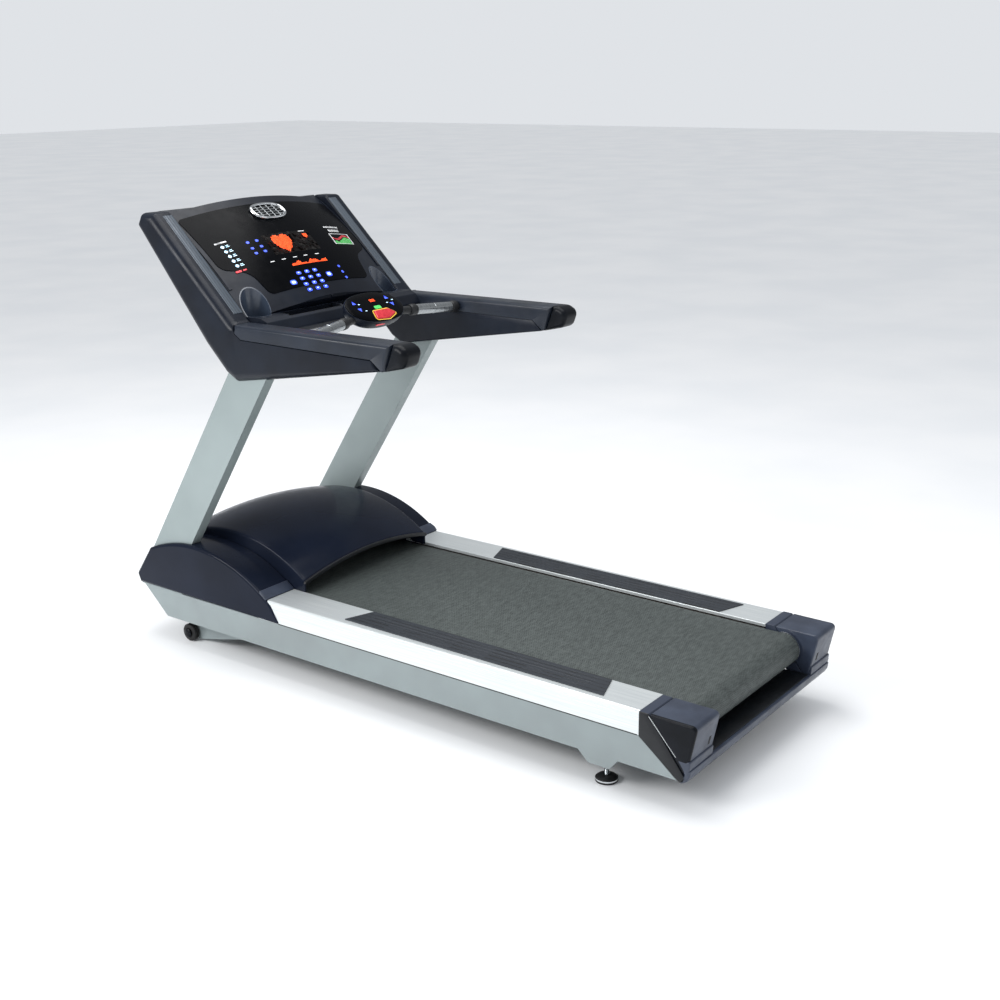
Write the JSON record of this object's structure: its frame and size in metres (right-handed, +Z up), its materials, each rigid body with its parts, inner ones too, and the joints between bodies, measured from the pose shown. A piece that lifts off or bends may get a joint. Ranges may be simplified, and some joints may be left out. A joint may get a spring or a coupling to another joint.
{
  "type": "treadmill",
  "caption": "Motorised club treadmill: long belt deck between aluminium rails, arched motor cover, leaning uprights, crowned console with long side arms, lifting front wheels",
  "frame": {"origin": "middle of the footprint, on the floor the feet and wheels stand on", "axes": "+X to the runner's right, +Y forward from the rear rollers to the console, +Z up"},
  "size_m": [0.884, 2.2237, 1.4967],
  "materials": {
    "frame_silver": "satin silver powder coat",
    "upright_silver": "light greenish silver powder coat",
    "dark_steel": "black painted steel",
    "rail_aluminium": "brushed along its length",
    "tread_rubber": "ribbed",
    "board_wood": "phenolic-faced board",
    "cushion_rubber": "matt",
    "belt_rubber": "fine zig-zag texture",
    "steel": "turned",
    "motor_black": "semi-gloss",
    "heatsink_aluminium": "extruded",
    "black_plastic": "fine grain",
    "cover_gloss": "dark navy gloss",
    "cap_plastic": "dark navy satin",
    "bumper_plastic": "dark satin",
    "console_plastic": "dark blue-grey satin",
    "overlay_gloss": "printed black film",
    "board_green": "circuit board",
    "trim_aluminium": "ribbed",
    "chrome": "polished",
    "grip_plastic": "light blue-grey satin",
    "end_plastic": "dark satin",
    "liner_plastic": "dark",
    "grip_chrome": "satin",
    "wheel_rubber": "moulded",
    "foot_chrome": "polished",
    "stop_red": "red",
    "switch_red": "red"
  },
  "bodies": {
    "base": {"frame_side_left": "frame_silver", "frame_side_right": "frame_silver", "frame_cross": "frame_silver", "lift_bridge": "dark_steel", "side_rail_left": "rail_aluminium", "side_rail_right": "rail_aluminium", "foot_strips": "tread_rubber", "deck_board": "board_wood", "deck_cushions": "cushion_rubber", "running_belt": "belt_rubber", "roller_shafts": "steel", "roller_brackets": "dark_steel", "roller_bearings": "steel", "motor_body": "motor_black", "drive_belt": "cushion_rubber", "motor_controller": "heatsink_aluminium", "power_inlet": "black_plastic", "motor_hood": "cover_gloss", "side_cover_left": "cover_gloss", "side_cover_right": "cover_gloss", "front_panel": "black_plastic", "end_cap_left": "cap_plastic", "end_cap_right": "cap_plastic", "rear_bumper": "bumper_plastic", "tension_bolts": "steel", "upright_left": "upright_silver", "upright_right": "upright_silver", "upright_bolts": "steel", "console_frame": "dark_steel", "console_back": "console_plastic", "console_front": "console_plastic", "console_overlay": "overlay_gloss", "console_board": "board_green", "trim_strips": "trim_aluminium", "fan_bezel": "chrome", "fan_motor": "dark_steel", "side_shell_left": "console_plastic", "side_shell_right": "console_plastic", "grip_cap_left": "grip_plastic", "grip_cap_right": "grip_plastic", "arm_end_caps": "end_plastic", "bottle_holders": "liner_plastic", "tray_liner": "liner_plastic", "handlebar": "black_plastic", "pulse_grips": "grip_chrome", "pod_base": "console_plastic", "pod_overlay": "overlay_gloss"},
    "front_roller": {"front_roller": "steel"},
    "rear_roller": {"rear_roller": "steel"},
    "motor_rotor": {"motor_rotor": "steel"},
    "lift_frame": {"lift_frame": "frame_silver"},
    "wheel_left": {"wheel_left": "wheel_rubber"},
    "wheel_right": {"wheel_right": "wheel_rubber"},
    "lift_motor": {"lift_motor": "motor_black"},
    "lift_tube": {"lift_tube": "steel"},
    "foot_left": {"foot_left": "foot_chrome"},
    "foot_right": {"foot_right": "foot_chrome"},
    "stop_button": {"stop_button": "stop_red"},
    "fan_impeller": {"fan_impeller": "black_plastic"},
    "power_switch": {"power_switch": "switch_red"}
  },
  "joints": [
    {"name": "front_roller_spin", "type": "hinge", "parent": "base", "child": "front_roller", "pos_m": [0, 0.678, 0.204], "axis": [1, 0, 0], "continuous": true},
    {"name": "rear_roller_spin", "type": "hinge", "parent": "base", "child": "rear_roller", "pos_m": [0, -1.007, 0.204], "axis": [1, 0, 0], "continuous": true},
    {"name": "motor_spin", "type": "hinge", "parent": "base", "child": "motor_rotor", "pos_m": [0, 0.947, 0.228], "axis": [1, 0, 0], "continuous": true},
    {"name": "incline_lift", "type": "hinge", "parent": "base", "child": "lift_frame", "pos_m": [0, 0.594, 0.084], "axis": [-1, 0, 0], "range_deg": [0, 38]},
    {"name": "lift_motor_swivel", "type": "hinge", "parent": "base", "child": "lift_motor", "pos_m": [0.15, 0.767, 0.3], "axis": [-1, 0, 0], "range_deg": [0, 15]},
    {"name": "lift_extension", "type": "slide", "parent": "lift_motor", "child": "lift_tube", "axis": [0, 0.2866, -0.9581], "range_m": [0, 0.142]},
    {"name": "wheel_left_spin", "type": "hinge", "parent": "lift_frame", "child": "wheel_left", "pos_m": [-0.3865, 0.912, 0.031], "axis": [1, 0, 0], "continuous": true},
    {"name": "wheel_right_spin", "type": "hinge", "parent": "lift_frame", "child": "wheel_right", "pos_m": [0.3865, 0.912, 0.031], "axis": [1, 0, 0], "continuous": true},
    {"name": "foot_left_height", "type": "slide", "parent": "base", "child": "foot_left", "axis": [0, 0, -1], "range_m": [0, 0.02]},
    {"name": "foot_right_height", "type": "slide", "parent": "base", "child": "foot_right", "axis": [0, 0, -1], "range_m": [0, 0.02]},
    {"name": "stop_button_press", "type": "slide", "parent": "base", "child": "stop_button", "axis": [0, 0.5736, -0.8192], "range_m": [0, 0.004], "stiffness_N_per_m": 900, "springref_m": -0.002},
    {"name": "fan_spin", "type": "hinge", "parent": "base", "child": "fan_impeller", "pos_m": [0, 0.81581, 1.44882], "axis": [0, -0.5646, 0.8253], "continuous": true},
    {"name": "power_switch_rock", "type": "hinge", "parent": "base", "child": "power_switch", "pos_m": [0.265, 1.08792, 0.17477], "axis": [1, 0, 0], "range_deg": [-12, 0]}
  ],
  "couplings": [
    {"joint": "rear_roller_spin", "follows": "front_roller_spin", "ratio": 1},
    {"joint": "motor_spin", "follows": "front_roller_spin", "ratio": 2},
    {"joint": "lift_motor_swivel", "follows": "incline_lift", "ratio": 0.38616},
    {"joint": "lift_extension", "follows": "incline_lift", "m_per_rad": 0.20999}
  ]
}
